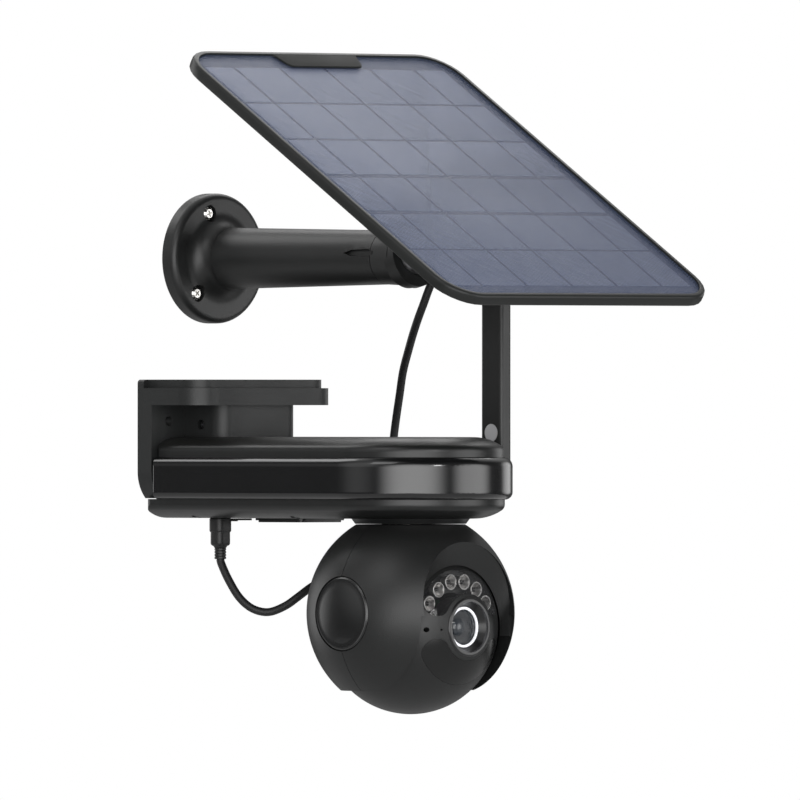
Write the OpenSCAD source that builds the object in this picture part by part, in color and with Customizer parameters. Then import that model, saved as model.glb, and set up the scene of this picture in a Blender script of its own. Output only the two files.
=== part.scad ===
/* [Wall arm] */
// Diameter of the arm's round wall flange
flange_dia = 69; // [66:1:72]
// Height of the arm's axis above the centre of the camera bracket
arm_z = 100.9; // [98:0.1:106]
// Distance from the wall to the centre of the ball joint
joint_reach = 152.8; // [150:0.1:156]

/* [Solar panel] */
// Panel width across the slope
panel_w = 196; // [190:1:200]
// Panel length down the slope
panel_l = 244.6; // [240:0.2:248]
// Slope of the panel at rest
panel_slope = 32.1; // [28:0.1:36]
// Thickness of the panel's frame
frame_h = 6.2; // [6:0.1:7]
// Columns of solar cells
cell_cols = 6; // [6:1:6]
// Rows of solar cells
cell_rows = 6; // [6:1:6]

/* [Camera body] */
// Distance from the wall to the pan axis
head_reach = 151.6; // [150:0.1:154]
// Radius of the round front of the glossy band
band_r = 53.7; // [53:0.1:54]
// Bottom face of the camera body
body_bottom_z = -36.6; // [-37:0.1:-36]

/* [Camera head] */
// Radius of the pan yoke's sphere
yoke_r = 54.8; // [54.5:0.1:55]
// Radius of the camera ball
ball_r = 46.1; // [46:0.1:46.2]
// Infrared lamps round the top of the face
led_count = 6; // [6:1:6]

/* [Hidden] */
$fn = 64;
eps = 0.01;

// Palette of the moulded and metal pieces
satin_black = [0.13, 0.13, 0.14];
gloss_black = [0.08, 0.08, 0.09];
dark_grey = [0.2, 0.2, 0.21];
steel = [0.75, 0.75, 0.77];
board_green = [0.1, 0.32, 0.18];

// Places along the ball joint's own axis, from the ball's centre to the panel's top
panel_top = 52;
frame_bottom = panel_top - frame_h;
cover_bottom = frame_bottom - 5.2;
hub_bottom = cover_bottom - 3;
plate_top = hub_bottom - 0.3;
plate_bottom = plate_top - 3.4;

// Levels of the camera body, all measured from the bracket's centre
cover_top_z = 6.3;
band_top_z = -4.2;
band_bottom_z = -26.6;
roof_z = 23.05;

// Centre heights of the yoke sphere and of the camera ball, which turns about the tilt axis
yoke_z = -86.3;
tilt_z = -93.4;
neck_z = -39.6;

// Puts a piece at a height on the wall, with its own Z pointing away from the wall
module from_wall(x = 0, z = 0) {
    translate([x, 0, z]) rotate([90, 0, 0]) children();
}

// Puts a piece on the ball joint's centre, with its own Z along the panel's normal
module on_joint(turn = panel_slope) {
    translate([0, -joint_reach, arm_z]) rotate([turn, 0, 0]) children();
}

// Puts a piece on the tilt axis, with its own Z pointing forward out of the lens
module on_ball(side = 0, up = 0) {
    translate([side, -head_reach, tilt_z + up]) rotate([90, 0, 0]) children();
}

// A rectangle with round corners, centred
module round_rect(w, l, r) {
    square([w - 2 * r, l], center = true);
    square([w, l - 2 * r], center = true);
    for (sx = [-1, 1], sy = [-1, 1])
        translate([sx * (w / 2 - r), sy * (l / 2 - r)]) circle(r);
}

// A round-cornered plate standing on z = 0
module round_plate(w, l, r, h) {
    linear_extrude(h) round_rect(w, l, r);
}

// A screw with a domed head above z = 0 and its shank below
module screw(head_r, head_h, shank_r, shank_l, slot = 0.9) {
    difference() {
        union() {
            cylinder(r = head_r, h = head_h * 0.6);
            translate([0, 0, head_h * 0.6 - eps]) cylinder(r1 = head_r, r2 = head_r * 0.7, h = head_h * 0.4);
            translate([0, 0, -shank_l]) cylinder(r = shank_r, h = shank_l + eps);
        }
        for (turn = [0, 90])
            rotate(turn) translate([0, 0, head_h])
                cube([head_r * 1.1, slot, head_h * 1.1], center = true);
    }
}

// ---- Wall arm and ball joint ----

flange_r = flange_dia / 2;
flange_h = 9;
flange_edge = 3.4;
arm_root_r = 16.4;
arm_tip_r = 14.3;
arm_fillet = 9;
seam_d = 135;
flange_screw_ring = 25;
flange_screw_turns = [108, 228, 348];
joint_ball_r = 10;
socket_gap = 0.3;
mouth_d = 154.5;
mouth_slant = 13.6;

module arm_profile() {
    difference() {
        union() {
            square([flange_r - flange_edge, flange_h]);
            square([flange_r, flange_h - flange_edge]);
            translate([flange_r - flange_edge, flange_h - flange_edge]) circle(flange_edge);
            square([arm_root_r + arm_fillet, flange_h + arm_fillet]);
            polygon([[0, flange_h], [arm_root_r, flange_h], [arm_tip_r, seam_d], [0, seam_d]]);
        }
        translate([arm_root_r + arm_fillet, flange_h + arm_fillet]) circle(arm_fillet);
        polygon([[-1, -1], [12.4, -1], [11, seam_d - 14], [-1, seam_d - 14]]);
    }
}

// The long pointed window that shows the lock's tongue, across the seam
module lock_window() {
    translate([0, 2.4, seam_d - 7]) rotate([0, -90, 0])
        linear_extrude(30) polygon([[-12, 0], [-7, 1.6], [5, 2], [10, 0.6], [10, -0.6], [5, -2], [-7, -1.6]]);
}

// One moulding: flange, hollow arm and the spigot that the lock sleeve turns on
module wall_arm() {
    color(satin_black) from_wall(0, arm_z) difference() {
        union() {
            rotate_extrude() arm_profile();
            translate([0, 0, seam_d - eps]) cylinder(r = 11.2, h = 6);
            for (turn = flange_screw_turns)
                rotate(turn) translate([flange_screw_ring, 0, 0]) cylinder(r = 6.2, h = flange_h);
        }
        for (turn = flange_screw_turns) rotate(turn) translate([flange_screw_ring, 0, 0]) {
            translate([0, 0, -1]) cylinder(r = 2.2, h = 30);
            translate([0, 0, flange_h - 2.6]) cylinder(r = 4.5, h = 20);
        }
        intersection() {
            lock_window();
            difference() {
                cylinder(r = 20, h = seam_d);
                cylinder(r = 12.6, h = seam_d);
            }
        }
    }
}

module arm_wall_screws() {
    color(steel) from_wall(0, arm_z)
        for (turn = flange_screw_turns)
            rotate(turn) translate([flange_screw_ring, 0, flange_h - 2.6])
                screw(3.3, 2.2, 2, flange_h - 2.8);
}

// Turning sleeve that clamps the ball; its mouth is cut on a slant
module lock_sleeve() {
    color(satin_black) from_wall(0, arm_z) difference() {
        union() {
            translate([0, 0, seam_d + 0.4]) cylinder(r1 = 14.3, r2 = 14.9, h = 13);
            translate([0, 0, mouth_d]) rotate([-mouth_slant, 0, 0]) {
                translate([0, 0, -8]) cylinder(r = 14.9, h = 8);
                translate([0, 0, -4]) cylinder(r = 15.8, h = 4);
            }
        }
        translate([0, 0, seam_d]) cylinder(r = 11.25, h = 6.3);
        translate([0, 0, joint_reach]) sphere(joint_ball_r + socket_gap);
        intersection() {
            lock_window();
            difference() {
                cylinder(r = 20, h = seam_d + 20);
                cylinder(r = 12.6, h = seam_d + 20);
            }
        }
    }
}

module ball_stud() {
    color(dark_grey) on_joint() {
        sphere(joint_ball_r);
        cylinder(r = 4, h = plate_bottom);
        translate([0, 0, plate_bottom - 9]) cylinder(r1 = 4, r2 = 9, h = 9);
    }
}

// Round plate that carries the panel's hub and the cable gland
module mount_plate() {
    color(satin_black) on_joint() difference() {
        union() {
            translate([0, 0, plate_bottom]) cylinder(r = 23, h = plate_top - plate_bottom);
            translate([gland_x - 9, gland_y - 5, plate_bottom]) cube([9, 10, plate_top - plate_bottom]);
        }
        translate([0, 0, plate_top - 2]) cylinder(r = 6.05, h = 3);
        for (turn = [45:90:315])
            rotate(turn) translate([16, 0, plate_bottom - 1]) cylinder(r = 1.6, h = 10);
        translate([gland_x - 6, gland_y, plate_mid]) rotate([0, 90, 0]) cylinder(r = 1.5, h = 8);
    }
}

plate_mid = (plate_top + plate_bottom) / 2;
gland_x = 29;
gland_y = 0;

module mount_screws() {
    color(steel) on_joint()
        for (turn = [45:90:315])
            rotate(turn) translate([16, 0, plate_bottom]) mirror([0, 0, 1]) screw(2.8, 1.6, 1.6, 3.2);
}

// Rubber gland where the solar cable leaves the plate
module cable_gland() {
    color(dark_grey) on_joint() translate([gland_x, gland_y, plate_mid]) rotate([0, 90, 0]) {
        cylinder(r = 3, h = 2);
        translate([0, 0, 2 - eps]) cylinder(r1 = 2.8, r2 = 2.35, h = 6.6);
    }
}

// ---- Solar panel ----

panel_corner = 21;
rim_w = 3.2;
glass_drop = 1;
glass_h = 1.2;
cell_h = 0.4;
board_h = 1;
ledge_w = 8;
column_pitch = 33.5;
column_gap = 2.2;
outer_column_edge = 88.6;
row_pitch = 36.4;
row_gap = 2;
wide_row_gap = 3.8;
wide_gap_rows = [2, 3];
tab_w = 60;
tab_l = 15;

// Hub on the back cover that turns on the mount plate's pin hole
module turn_hub() {
    color(satin_black) on_joint() {
        translate([0, 0, hub_bottom]) cylinder(r = 20, h = cover_bottom - hub_bottom);
        translate([0, 0, plate_top - 1.8]) cylinder(r = 6, h = hub_bottom - plate_top + 1.8 + eps);
    }
}

module panel_back_cover() {
    cover_w = panel_w - 26;
    cover_l = panel_l - 26;
    color(satin_black) on_joint() difference() {
        union() {
            translate([0, 0, cover_bottom]) round_plate(cover_w - 6, cover_l - 6, 17, 2.6);
            translate([0, 0, cover_bottom + 2.6 - eps]) round_plate(cover_w, cover_l, 20, 2.6 + eps);
        }
        translate([0, 0, cover_bottom + 1.8]) round_plate(cover_w - 12, cover_l - 12, 14, 4);
        for (sx = [-1, 1], sy = [-1, 0, 1])
            translate([sx * (cover_w / 2 - 3), sy * (cover_l / 2 - 22), 0]) {
                translate([0, 0, frame_bottom - 3]) cylinder(r = 1.4, h = 4);
                translate([0, 0, cover_bottom - 1]) cylinder(r = 2.7, h = frame_bottom - 2.6 - cover_bottom + 1);
            }
    }
}

module panel_screws() {
    color(steel) on_joint()
        for (sx = [-1, 1], sy = [-1, 0, 1])
            translate([sx * ((panel_w - 26) / 2 - 3), sy * ((panel_l - 26) / 2 - 22), frame_bottom - 2.6])
                mirror([0, 0, 1]) screw(2.4, 1.4, 1.3, 2.6);
}

// Sealed block where the cell strings join the lead, inside the back cover
module junction_box() {
    color(dark_grey) on_joint() translate([0, 30, cover_bottom + 1.8]) round_plate(30, 20, 3, 4.6);
}

// Moulded frame with the glass recess, its ledge and the plain tab at the top edge
module panel_frame() {
    glass_low = panel_top - glass_drop - glass_h;
    color(dark_grey) on_joint() difference() {
        union() {
            translate([0, 0, frame_bottom]) round_plate(panel_w - 1.6, panel_l - 1.6, panel_corner - 0.8, frame_h);
            translate([0, 0, frame_bottom + 0.8]) round_plate(panel_w, panel_l, panel_corner, frame_h - 1.6);
        }
        translate([0, 0, glass_low - cell_h - board_h])
            round_plate(panel_w - 2 * rim_w, panel_l - 2 * rim_w, panel_corner - rim_w, 5);
        translate([0, 0, frame_bottom - 1])
            round_plate(panel_w - 2 * ledge_w - 12, panel_l - 2 * ledge_w - 12, panel_corner - ledge_w, 9);
    }
    color(dark_grey) on_joint() translate([0, panel_l / 2, panel_top - glass_drop]) linear_extrude(glass_drop)
        for (side = [0, 1]) mirror([side, 0]) polygon([
            [-eps, 0.5 - rim_w], [tab_w / 2 + 2, 0.5 - rim_w], [tab_w / 2, -rim_w - 1.5],
            [tab_w / 2 - 2, 4 - tab_l], [tab_w / 2 - 6, -tab_l], [-eps, -tab_l]
        ]);
}

module cell_board() {
    glass_low = panel_top - glass_drop - glass_h;
    color([0.2, 0.22, 0.3]) on_joint() translate([0, 0, glass_low - cell_h - board_h])
        round_plate(panel_w - 2 * rim_w, panel_l - 2 * rim_w, panel_corner - rim_w, board_h);
}

// Left and right edges of one column, with the outer ones cut short at the frame
function column_left(i) =
    i == 0 ? -outer_column_edge : (i - cell_cols / 2) * column_pitch + column_gap / 2;
function column_right(i) =
    i == cell_cols - 1 ? outer_column_edge : (i + 1 - cell_cols / 2) * column_pitch - column_gap / 2;

// Gap below row j; two of the gaps are wider, where the cell strings meet
function gap_below(j) = len(search(j, wide_gap_rows)) > 0 ? wide_row_gap : row_gap;

module solar_cells() {
    glass_low = panel_top - glass_drop - glass_h;
    color([0.35, 0.4, 0.55]) on_joint()
        for (i = [0:cell_cols - 1], j = [0:cell_rows - 1])
            translate([column_left(i), (j - cell_rows / 2) * row_pitch + gap_below(j) / 2, glass_low - cell_h])
                cube([column_right(i) - column_left(i),
                      row_pitch - (gap_below(j) + gap_below(j + 1)) / 2, cell_h]);
}

module panel_glass() {
    color([0.5, 0.56, 0.68]) on_joint() translate([0, 0, panel_top - glass_drop - glass_h])
        round_plate(panel_w - 2 * rim_w, panel_l - 2 * rim_w, panel_corner - rim_w, glass_h);
}

// ---- Bracket and camera body ----

plate_half_w = 52.7;
plate_corner = 20;
plate_d = 10.5;
shelf_d = 46.2;
shelf_low_z = roof_z;
shelf_step_z = 32.1;
shelf_top_z = 36.6;
wall_hole_x = 40;
wall_hole_z = 14.6;
block_half_w = 28.6;
block_front_d = 39.8;
lock_d = 23.3;
lock_z = 12.8;

// A half outline in the X-Z plane with round outer edges; an edge of 0 stays sharp
module soft_profile(r, low, high, low_edge, high_edge) {
    difference() {
        translate([0, low]) square([r, high - low]);
        if (high_edge > 0) translate([r - high_edge, high - high_edge]) difference() {
            square(high_edge + 1);
            circle(high_edge);
        }
        if (low_edge > 0) translate([r - low_edge, low + low_edge]) difference() {
            translate([0, -low_edge - 1]) square(low_edge + 1);
            circle(low_edge);
        }
    }
}

// A half outline whose rim is a wide shallow curve that tightens towards the side;
// top is true for a rim along the upper edge and false along the lower one
wide_r = 26;
wide_w = 16;
tight_r = 4;
tight_up = wide_r - sqrt(pow(wide_r - tight_r, 2) - pow(wide_w - tight_r, 2));
meet_x = wide_w - (wide_w - tight_r) * wide_r / (wide_r - tight_r);

module shallow_rim(r) {
    translate([r - wide_w, -1]) difference() {
        square([wide_w - meet_x, wide_r]);
        translate([0, wide_r + 1]) circle(wide_r, $fn = 192);
    }
    translate([r - meet_x, -1]) difference() {
        square([meet_x + 1, tight_up + 1]);
        translate([meet_x - tight_r, tight_up + 1]) circle(tight_r);
    }
}

module shallow_profile(r, low, high, top) {
    difference() {
        translate([0, low]) square([r, high - low]);
        if (top) translate([0, high]) mirror([0, 1]) shallow_rim(r);
        else translate([0, low]) shallow_rim(r);
    }
}

// Carries an outline round the body's plan: round front, straight sides, flat back with soft corners
module body_sweep(r, back, corner) {
    difference() {
        union() {
            translate([0, -head_reach, 0]) rotate(180) rotate_extrude(angle = 180) children();
            translate([0, -back, 0]) rotate([90, 0, 0]) linear_extrude(head_reach - back) {
                children();
                mirror([1, 0]) children();
            }
        }
        for (side = [0, 1]) mirror([side, 0, 0])
            translate([r - corner, -back - corner, -60]) linear_extrude(80) difference() {
                square(corner + 1);
                circle(corner);
            }
    }
}

plate_bottom_z = band_bottom_z + 0.4;
plate_turn_z = -12.1;

// Wall plate and stepped shelf in one moulding
module wall_bracket() {
    color(satin_black) difference() {
        union() {
            rotate([90, 0, 0]) linear_extrude(plate_d) difference() {
                union() {
                    translate([plate_corner - plate_half_w, plate_bottom_z])
                        square([2 * (plate_half_w - plate_corner), shelf_step_z - plate_bottom_z]);
                    translate([-plate_half_w, plate_turn_z])
                        square([2 * plate_half_w, shelf_step_z - plate_turn_z]);
                    for (side = [-1, 1])
                        translate([side * (plate_half_w - plate_corner), plate_turn_z]) circle(plate_corner);
                }
                translate([-100, plate_bottom_z - 50]) square([200, 50]);
            }
            rotate([90, 0, 0]) linear_extrude(4.5) {
                translate([-plate_half_w, shelf_low_z])
                    square([2 * plate_half_w, shelf_top_z - shelf_low_z - 2]);
                translate([2 - plate_half_w, shelf_low_z])
                    square([2 * plate_half_w - 4, shelf_top_z - shelf_low_z]);
                for (side = [-1, 1])
                    translate([side * (plate_half_w - 2), shelf_top_z - 2]) circle(2);
            }
            shelf_level(plate_half_w, shelf_d, 15.5, shelf_low_z, shelf_step_z);
            shelf_level(plate_half_w - 3.5, shelf_d - 3.5, 12.5, shelf_step_z - eps, shelf_top_z);
        }
        for (side = [-1, 1])
            from_wall(side * wall_hole_x, wall_hole_z) {
                translate([0, 0, -1]) cylinder(r = 2.5, h = 20);
            }
        translate([8 - plate_half_w, -4.5, band_bottom_z + 12])
            cube([2 * plate_half_w - 16, 5, 14]);
    }
}

module shelf_level(half_w, depth, corner, low, high) {
    translate([0, 0, low]) linear_extrude(high - low) {
        translate([-half_w, corner - depth]) square([2 * half_w, depth - corner]);
        translate([corner - half_w, -depth]) square([2 * (half_w - corner), depth]);
        for (side = [-1, 1])
            translate([side * (half_w - corner), corner - depth]) circle(corner);
    }
}

// Socket block on the camera's roof that hangs from the shelf
module mount_block() {
    color(satin_black) difference() {
        translate([0, 0, cover_top_z]) linear_extrude(roof_z - cover_top_z) {
            translate([-block_half_w, 8.2 - block_front_d])
                square([2 * block_half_w, block_front_d - plate_d - 8.2]);
            translate([8.2 - block_half_w, -block_front_d])
                square([2 * (block_half_w - 8.2), block_front_d - plate_d]);
            for (side = [-1, 1])
                translate([side * (block_half_w - 8.2), 8.2 - block_front_d]) circle(8.2);
        }
        translate([-block_half_w - 1, -lock_d, lock_z]) rotate([0, 90, 0]) {
            cylinder(r = 2.6, h = 5);
            cylinder(r = 1.5, h = 14);
        }
        translate([4 - block_half_w + 8, 4 - block_front_d, cover_top_z - 1])
            cube([2 * block_half_w - 20, block_front_d - plate_d - 8, roof_z - cover_top_z - 3]);
    }
}

module lock_screw() {
    color(steel) translate([3 - block_half_w, -lock_d, lock_z]) rotate([0, -90, 0])
        screw(2.2, 1.6, 1.5, 8);
}

// ---- Camera body shells ----

wall_t = 2.8;
cavity_r = 46.4;
cavity_back = 17.3;
cover_r = 49.1;
shell_r = 49.6;
shaft_r = 12;
port_x = -25;
port_d = 34.3;
access_d = 68.8;
button_x = 0;
button_d = 62;
socket_d = 157;
socket_z = -15;
screw_x = 38;
body_screw_ds = [30, 104];

// Room inside the body, from its floor to just below its roof
module body_cavity(low, high) {
    body_sweep(cavity_r, cavity_back, 6) soft_profile(cavity_r, low, high, 0, 0);
}

module top_cover() {
    color(satin_black) difference() {
        body_sweep(cover_r, 10.8, 2) shallow_profile(cover_r, band_top_z, cover_top_z, true);
        body_cavity(band_top_z - 1, cover_top_z - 7.5);
        body_sweep(cavity_r - 5, cavity_back + 2, 6)
            soft_profile(cavity_r - 5, band_top_z - 1, cover_top_z - wall_t, 0, 0);
    }
}

module glossy_band() {
    color(gloss_black) difference() {
        body_sweep(band_r, 12.3, 0.8) soft_profile(band_r, band_bottom_z, band_top_z, 4, 5);
        body_cavity(band_bottom_z - 1, band_top_z + 1);
        translate([band_r - 9, -socket_d, socket_z]) rotate([0, 90, 0]) cylinder(r = 4, h = 12);
    }
}

// Lower tray; its back edge runs under the wall plate
module lower_shell() {
    color(satin_black) difference() {
        union() {
            difference() {
                body_sweep(shell_r, 2.3, 4) shallow_profile(shell_r, body_bottom_z, band_bottom_z, false);
                body_sweep(cavity_r - 4.6, cavity_back, 6)
                    soft_profile(cavity_r - 4.6, body_bottom_z + wall_t, band_bottom_z + 1, 0, 0);
                body_cavity(body_bottom_z + 5, band_bottom_z + 1);
            }
            for (side = [-1, 1], d = body_screw_ds)
                translate([side * screw_x, -d, body_bottom_z + 1]) cylinder(r = 3.4, h = 9);
        }
        translate([0, -head_reach, body_bottom_z - 1]) cylinder(r = shaft_r + 0.4, h = 10);
        for (side = [-1, 1], d = body_screw_ds)
            translate([side * screw_x, -d, body_bottom_z - 1]) {
                cylinder(r = 1.3, h = 9);
                cylinder(r = 2.7, h = 3.4);
            }
        translate([port_x, -port_d, body_bottom_z - 1]) linear_extrude(10) round_rect(9.6, 4.2, 2.05);
        translate([button_x, -button_d, body_bottom_z - 1]) cylinder(r = 3.4, h = 10);
    }
}

module body_screws() {
    color(steel)
        for (side = [-1, 1], d = body_screw_ds)
            translate([side * screw_x, -d, body_bottom_z + 2.4]) mirror([0, 0, 1]) screw(2.5, 1.5, 1.3, 5);
}

// Three round cells in a row along the body
module battery_pack() {
    color([0.2, 0.35, 0.6])
        for (x = [-19.5, 0, 19.5])
            translate([x, -38, -20]) rotate([90, 0, 0]) {
                cylinder(r = 9.2, h = 65);
                cylinder(r = 3, h = 66.2);
            }
}

module main_board() {
    color(board_green) translate([-36, -112, -7]) cube([72, 88, 1.6]);
    color(dark_grey) for (x = [-22, 6], d = [50, 84])
        translate([x, -d, -5.4 - eps]) cube([14, 14, 1.8]);
}

module speaker() {
    color(dark_grey) translate([-30, -122, body_bottom_z + wall_t]) {
        cylinder(r = 11, h = 3);
        translate([0, 0, 3 - eps]) cylinder(r1 = 9, r2 = 6, h = 4);
    }
}

// Charging socket behind the port, with its open mouth downwards
module usb_socket() {
    color(steel) translate([port_x, -port_d, body_bottom_z + 0.8]) difference() {
        linear_extrude(7.4) round_rect(9, 3.6, 1.75);
        translate([0, 0, -1]) linear_extrude(7.4) round_rect(8.2, 2.8, 1.35);
    }
}

// Soft cover of the port, swung aside; it hinges along its edge next to the port
module usb_flap() {
    color(dark_grey) translate([flap_hinge_x, -port_d, body_bottom_z - flap_gap]) {
        translate([1.2, 0, -1]) linear_extrude(1) difference() {
            translate([5.2, 0]) round_rect(12, 8.4, 2.6);
            translate([-20, -10]) square(20);
        }
        translate([0, 4.1, -0.75]) rotate([90, 0, 0]) cylinder(r = 0.75, h = 8.2);
        translate([0, -4.1, -1]) cube([2, 8.2, 0.8]);
    }
}

flap_hinge_x = port_x + 8.4;
flap_gap = 0.3;

module access_cover() {
    color(dark_grey) translate([0, -access_d, body_bottom_z - 2.2]) difference() {
        union() {
            round_plate(31, 33.3, 2.2, 1.2);
            translate([0, 0, 1]) round_plate(34, 36.3, 3.5, 1.2);
        }
        for (side = [-1, 1]) translate([side * 10.5, 0, -1]) {
            cylinder(r = 1.3, h = 6);
            cylinder(r = 2.5, h = 2.1);
        }
    }
}

module access_screws() {
    color(steel) for (side = [-1, 1])
        translate([side * 10.5, -access_d, body_bottom_z - 1.1]) mirror([0, 0, 1]) screw(2.3, 1, 1.3, 1);
}

module power_button() {
    color([0.5, 0.5, 0.52]) translate([button_x, -button_d, body_bottom_z + 0.1]) {
        cylinder(r = 3, h = 3);
        translate([0, 0, wall_t + 0.1]) cylinder(r = 4.2, h = 1);
    }
}

// Round boss on the band with the pin that the antenna swings on
module antenna_socket() {
    color(satin_black) translate([0, -socket_d, socket_z]) rotate([0, 90, 0]) {
        translate([0, 0, band_r - 7]) cylinder(r = 3.9, h = 7.8);
        translate([0, 0, band_r + 0.1]) cylinder(r = 6.4, h = 0.7);
        translate([0, 0, band_r]) cylinder(r = 2, h = 5);
    }
}

antenna_x = 58.5;
antenna_half_t = 3.9;
antenna_half_w = 7.9;
antenna_top_z = 98;
badge_z = 8.5;

module antenna() {
    low = socket_z;
    color(satin_black) difference() {
        union() {
            translate([antenna_x - antenna_half_t, -socket_d, low]) rotate([0, 90, 0])
                cylinder(r = antenna_half_w, h = 2 * antenna_half_t);
            translate([antenna_x, -socket_d, low])
                linear_extrude(antenna_top_z - antenna_half_t - low)
                    round_rect(2 * antenna_half_t, 2 * antenna_half_w, 2);
            translate([antenna_x, -socket_d, antenna_top_z - antenna_half_t - eps])
                linear_extrude(antenna_half_t) round_rect(2 * antenna_half_t - 1.6, 2 * antenna_half_w - 1.6, 1.8);
        }
        translate([antenna_x - 10, -socket_d, low]) rotate([0, 90, 0]) cylinder(r = 2.05, h = 11);
        translate([antenna_x - antenna_half_t - 1, -socket_d, badge_z]) rotate([0, 90, 0])
            cylinder(r = 4.8, h = 1.6);
    }
}

// Plain disc set in the side of the antenna
module antenna_badge() {
    color([0.6, 0.6, 0.6]) translate([antenna_x - antenna_half_t, -socket_d, badge_z])
        rotate([0, 90, 0]) cylinder(r = 4.7, h = 0.6);
}

// ---- Pan drive and yoke ----

gear_low_z = -31.6;
gear_h = 4;
gear_teeth = 40;
pinion_teeth = 10;
gear_module = 1;
motor_d = head_reach - (gear_teeth + pinion_teeth) * gear_module / 2;
flange_top_z = -43.2;
yoke_bottom_z = -127;
ball_gap = 0.8;
cap_r = 19.4;
cap_seat_x = 49.5;
pin_r = 5;
pin_start_x = 39;

// Straight-sided spur teeth with generous play
module spur_gear(teeth) {
    pitch_r = teeth * gear_module / 2;
    linear_extrude(gear_h) {
        circle(pitch_r - 1.1);
        for (i = [0:teeth - 1])
            rotate(i * 360 / teeth)
                polygon([[pitch_r - 1.5, -0.95], [pitch_r + 0.75, -0.4], [pitch_r + 0.75, 0.4], [pitch_r - 1.5, 0.95]]);
    }
}

module pan_motor() {
    color(steel) translate([0, -motor_d, -24]) difference() {
        union() {
            cylinder(r = 10, h = 15);
            translate([-14, -3.5, 0]) cube([28, 7, 1.2]);
        }
        translate([0, 0, -1]) cylinder(r = 1.05, h = 9);
    }
}

module pan_pinion() {
    color([0.9, 0.88, 0.8]) translate([0, -motor_d, gear_low_z]) {
        spur_gear(pinion_teeth);
        cylinder(r = 1, h = 14);
    }
}

// Gear, hollow shaft and clamping flange of the pan axis
module pan_gear() {
    color([0.9, 0.88, 0.8]) translate([0, -head_reach, 0]) difference() {
        union() {
            translate([0, 0, gear_low_z]) spur_gear(gear_teeth);
            translate([0, 0, flange_top_z - 1]) cylinder(r = shaft_r, h = gear_low_z - flange_top_z + 2);
            translate([0, 0, flange_top_z - 3]) cylinder(r = 15, h = 3);
        }
        translate([0, 0, flange_top_z - 4]) cylinder(r = 6, h = 30);
    }
}

module neck_ring() {
    color(satin_black) translate([0, -head_reach, 0]) difference() {
        translate([0, 0, neck_z + 0.3]) cylinder(r1 = 29.2, r2 = 31.2, h = body_bottom_z - neck_z - 0.3);
        translate([0, 0, neck_z - 1]) cylinder(r = shaft_r + 0.4, h = 10);
    }
}

// Outline of the arched face opening: a round top over straight open sides
module arch(r, centre_up, half_w) {
    translate([0, centre_up]) circle(r, $fn = 96);
    translate([-half_w, -70]) square([2 * half_w, 65 + centre_up]);
}

// Space in front of the ball, with the sloping face of the visor above it
module face_opening() {
    on_ball() {
        linear_extrude(70) translate([-34.5, -70]) square([69, 65]);
        hull() {
            translate([0, 0, 33.7]) linear_extrude(eps) arch(32, 0, 32);
            translate([0, 0, 39.9]) linear_extrude(eps) arch(33.6, 11.1, 33.6);
        }
        translate([0, 0, 39.9]) linear_extrude(30) arch(33.6, 11.1, 34.5);
    }
}

module yoke_solid() {
    difference() {
        translate([0, -head_reach, yoke_z]) sphere(yoke_r);
        translate([-100, -head_reach - 100, neck_z]) cube(200);
        translate([-100, -head_reach - 100, yoke_bottom_z - 200]) cube(200);
        translate([0, -head_reach, tilt_z]) sphere(ball_r + ball_gap);
        translate([0, -head_reach, flange_top_z - 8]) cylinder(r = 15.2, h = 8);
        translate([0, -head_reach, neck_z - 8]) cylinder(r = shaft_r, h = 9);
        for (side = [0, 1]) mirror([side, 0, 0]) {
            translate([cap_seat_x, -head_reach, yoke_z]) rotate([0, 90, 0]) cylinder(r = cap_r + 0.4, h = 10);
            translate([pin_start_x, -head_reach, tilt_z]) rotate([0, 90, 0]) cylinder(r = pin_r, h = 20);
        }
        translate([0, 0.15 - head_reach, yoke_z]) rotate([90, 0, 0]) difference() {
            cylinder(r = yoke_r + 2, h = 0.3);
            translate([0, 0, -1]) cylinder(r = yoke_r - 0.4, h = 3);
        }
    }
}

module yoke_front() {
    color(satin_black) difference() {
        yoke_solid();
        translate([-100, -head_reach, -200]) cube([200, 200, 200]);
        face_opening();
    }
}

module yoke_rear() {
    color(satin_black) difference() {
        yoke_solid();
        translate([-100, -head_reach - 200, -200]) cube([200, 200, 200]);
    }
}

// Plain domed discs that close the tilt bearings on both sides
module side_caps() {
    color(dark_grey) for (side = [0, 1]) mirror([side, 0, 0])
        intersection() {
            translate([0, -head_reach, yoke_z]) sphere(yoke_r, $fn = 256);
            translate([cap_seat_x, -head_reach, yoke_z]) rotate([0, 90, 0]) cylinder(r = cap_r, h = 10);
        }
}

module tilt_pins() {
    color(steel) for (side = [0, 1]) mirror([side, 0, 0])
        translate([pin_start_x, -head_reach, tilt_z]) rotate([0, 90, 0])
            cylinder(r = pin_r, h = cap_seat_x - pin_start_x);
}

// ---- Camera ball and what it holds ----

ball_wall = 2.8;
ball_split = 8;
window_ring = 24;
window_half_w = 6.5;
window_a0 = 31;
window_a1 = 149;
window_t = 1;
end_step = 0.06;
bezel_r = 15.7;
lamp_ring = 24.1;
lamp_r = 4.15;
lamp_top = 34.9;
lamp_board_top = 29.7;
lamp_spread = 23.6;
sensor_y = -1.2;

// A bent slot with round ends, standing on z = 0 round the lens axis
module kidney(ring, half_w, a0, a1, h) {
    far = 2 * ring;
    intersection() {
        difference() {
            cylinder(r = ring + half_w, h = h);
            translate([0, 0, -1]) cylinder(r = ring - half_w, h = h + 2);
        }
        translate([0, 0, -1]) linear_extrude(h + 2)
            polygon(concat([[0, 0]], [for (k = [0:3]) far * [cos(a0 + k * (a1 - a0) / 3), sin(a0 + k * (a1 - a0) / 3)]]));
    }
    for (a = [a0, a1]) rotate(a) translate([ring, 0, 0]) cylinder(r = half_w - end_step, h = h);
}

// A hollow sphere, the ball before it is split
module ball_skin(thickness) {
    difference() {
        sphere(ball_r, $fn = 96);
        sphere(ball_r - thickness, $fn = 96);
    }
}

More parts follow.
